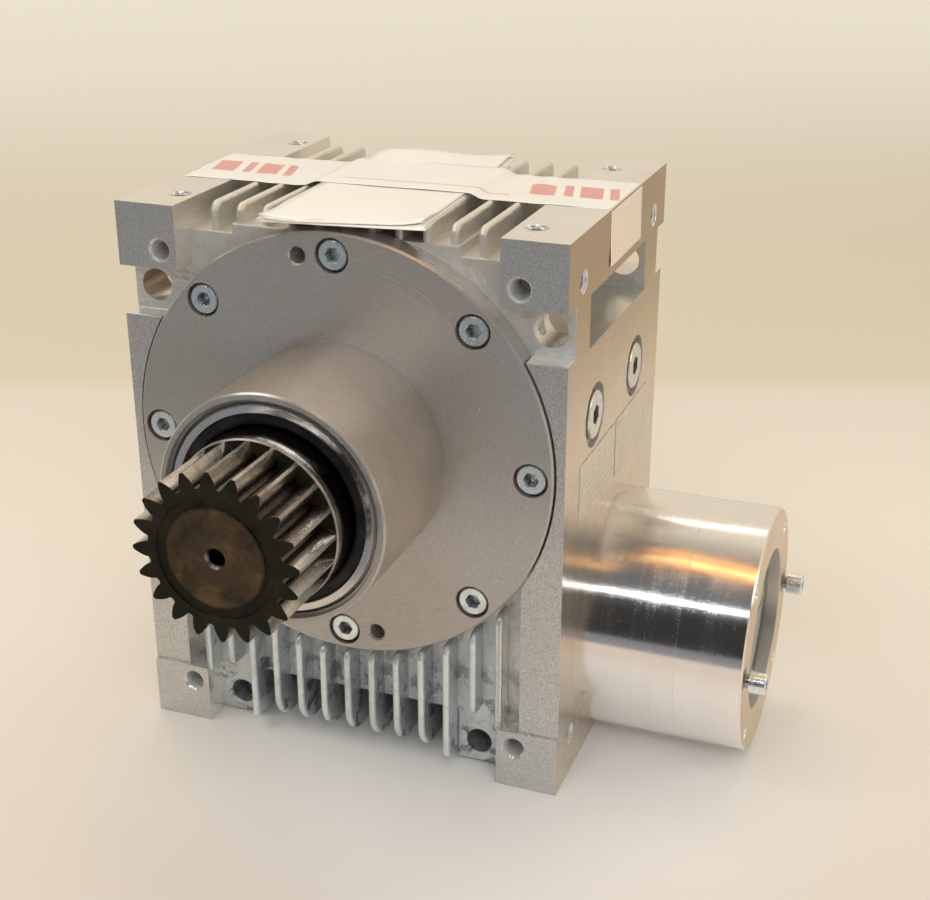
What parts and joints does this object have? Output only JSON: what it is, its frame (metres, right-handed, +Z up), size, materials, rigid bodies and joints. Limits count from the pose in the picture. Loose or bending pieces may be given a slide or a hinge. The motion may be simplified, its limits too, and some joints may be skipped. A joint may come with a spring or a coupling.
{
  "type": "worm gearbox",
  "caption": "Right-angle worm gearbox: finned cast housing, flanged output boss with an integral rack pinion, and a round motor adaptor on the worm axis.",
  "frame": {"origin": "centre of the four foot holes, on the foot face", "axes": "+Z up from the foot face, +X along the worm towards the motor adaptor, -Y along the output shaft towards the pinion"},
  "size_m": [0.2916, 0.258, 0.253],
  "materials": {
    "cast_aluminium": "machined and cast, satin",
    "turned_steel": "turned, satin",
    "zinc_screws": "zinc plated",
    "rubber": "satin",
    "bearing_steel": "ground",
    "cage_brass": "satin",
    "polished_aluminium": "polished",
    "plug_steel": "zinc plated",
    "washer_copper": "satin",
    "label": "printed foil",
    "tape": "printed film",
    "paper": "matte",
    "dark_gear_steel": "hardened, dark, ground flanks",
    "bronze": "machined",
    "ground_steel": "ground",
    "spring_steel": "black",
    "coupling_aluminium": "machined"
  },
  "bodies": {
    "housing": {"housing": "cast_aluminium", "output_flange": "turned_steel", "output_flange_screws": "zinc_screws", "output_flange_o_ring": "rubber", "output_seal_case": "bearing_steel", "output_seal_lip": "rubber", "output_front_bearing_outer": "bearing_steel", "output_rear_bearing_outer": "bearing_steel", "rear_cover": "turned_steel", "rear_cover_screws": "zinc_screws", "rear_cover_o_ring": "rubber", "worm_end_cap": "turned_steel", "worm_end_cap_screws": "zinc_screws", "worm_end_cap_o_ring": "rubber", "worm_end_bearing_outer": "bearing_steel", "worm_drive_bearing_outer": "bearing_steel", "input_seal": "rubber", "adaptor_housing": "polished_aluminium", "adaptor_screws": "zinc_screws", "motor_flange": "polished_aluminium", "motor_screws": "zinc_screws", "oil_plugs": "plug_steel", "oil_plug_washers": "washer_copper", "type_plate": "label", "packing_tape": "tape", "document_sleeve": "paper"},
    "output": {"pinion_shaft": "dark_gear_steel", "wheel_key": "ground_steel", "wheel_hub": "ground_steel", "worm_wheel_rim": "bronze", "output_front_bearing_inner": "bearing_steel", "output_rear_bearing_inner": "bearing_steel", "output_front_spacer": "ground_steel", "output_rear_spacer": "ground_steel", "output_retaining_ring": "spring_steel"},
    "output_front_cage": {"output_front_bearing_balls": "bearing_steel", "output_front_bearing_cage": "cage_brass"},
    "output_rear_cage": {"output_rear_bearing_balls": "bearing_steel", "output_rear_bearing_cage": "cage_brass"},
    "worm": {"worm_shaft": "ground_steel", "worm_end_bearing_inner": "bearing_steel", "worm_drive_bearing_inner": "bearing_steel", "worm_end_retaining_ring": "spring_steel", "worm_lock_nut": "spring_steel", "coupling_hub": "coupling_aluminium", "coupling_screw": "spring_steel"},
    "worm_end_cage": {"worm_end_bearing_balls": "bearing_steel", "worm_end_bearing_cage": "cage_brass"},
    "worm_drive_cage": {"worm_drive_bearing_balls": "bearing_steel", "worm_drive_bearing_cage": "cage_brass"}
  },
  "joints": [
    {"name": "output_spin", "type": "hinge", "parent": "housing", "child": "output", "pos_m": [0, 0, 0.15], "axis": [0, 1, 0], "continuous": true},
    {"name": "output_front_cage_spin", "type": "hinge", "parent": "housing", "child": "output_front_cage", "pos_m": [0, -0.1185, 0.15], "axis": [0, 1, 0], "continuous": true},
    {"name": "output_rear_cage_spin", "type": "hinge", "parent": "housing", "child": "output_rear_cage", "pos_m": [0, 0.048, 0.15], "axis": [0, 1, 0], "continuous": true},
    {"name": "worm_spin", "type": "hinge", "parent": "housing", "child": "worm", "pos_m": [0, 0, 0.059], "axis": [1, 0, 0], "continuous": true},
    {"name": "worm_end_cage_spin", "type": "hinge", "parent": "housing", "child": "worm_end_cage", "pos_m": [-0.082, 0, 0.059], "axis": [1, 0, 0], "continuous": true},
    {"name": "worm_drive_cage_spin", "type": "hinge", "parent": "housing", "child": "worm_drive_cage", "pos_m": [0.0805, 0, 0.059], "axis": [1, 0, 0], "continuous": true}
  ],
  "couplings": [
    {"joint": "output_front_cage_spin", "follows": "output_spin", "ratio": 0.4503},
    {"joint": "output_rear_cage_spin", "follows": "output_spin", "ratio": 0.41},
    {"joint": "worm_spin", "follows": "output_spin", "ratio": 18},
    {"joint": "worm_end_cage_spin", "follows": "output_spin", "ratio": 7.1406},
    {"joint": "worm_drive_cage_spin", "follows": "output_spin", "ratio": 7.1496}
  ]
}
